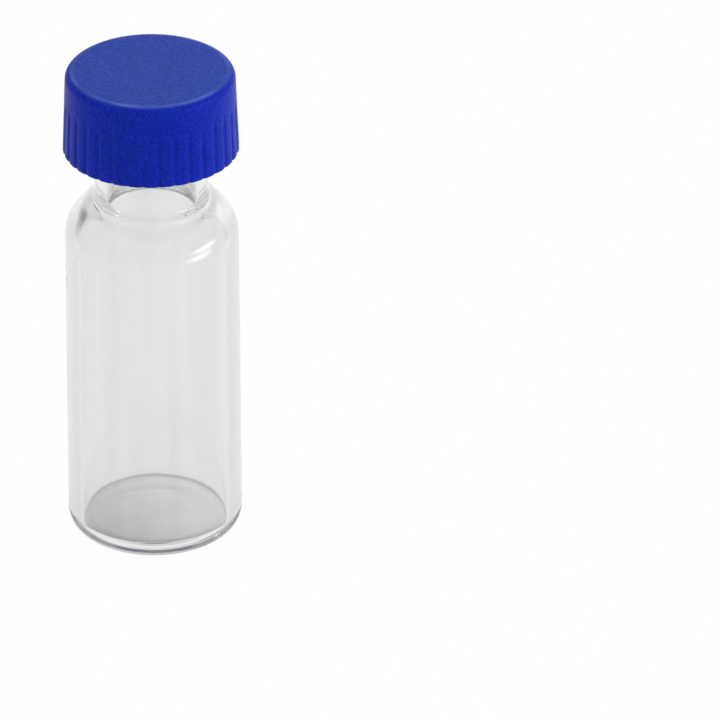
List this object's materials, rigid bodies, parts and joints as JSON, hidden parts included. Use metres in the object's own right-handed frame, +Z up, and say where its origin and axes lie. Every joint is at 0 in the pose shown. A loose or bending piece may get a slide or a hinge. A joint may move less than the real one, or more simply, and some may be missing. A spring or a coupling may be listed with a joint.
{
  "type": "glass sample vial",
  "caption": "Small clear glass sample vial with a sloping shoulder, a threaded neck and a fluted blue screw cap.",
  "frame": {"origin": "centre of the vial's foot, on the surface that it stands on", "axes": "+Z up the vial's axis, from the foot to the cap's top; +X and +Y are free, as the outside is round"},
  "size_m": [0.0118, 0.0118, 0.0341],
  "materials": {
    "glass": "clear, polished by fire, faint draw lines",
    "cap_plastic": "moulded, satin with a fine grain",
    "liner_rubber": "smooth, matte"
  },
  "bodies": {
    "vial": {"vial": "glass"},
    "liner": {"liner": "liner_rubber"},
    "cap": {"cap": "cap_plastic"}
  },
  "joints": [
    {"name": "cap_rise", "type": "slide", "parent": "vial", "child": "liner", "axis": [0, 0, 1], "range_m": [0, 0.00181]},
    {"name": "cap_turn", "type": "hinge", "parent": "liner", "child": "cap", "pos_m": [0, 0, 0.033], "axis": [0, 0, 1], "range_deg": [0, 360]}
  ],
  "couplings": [
    {"joint": "cap_turn", "follows": "cap_rise", "rad_per_m": 3463.7}
  ]
}
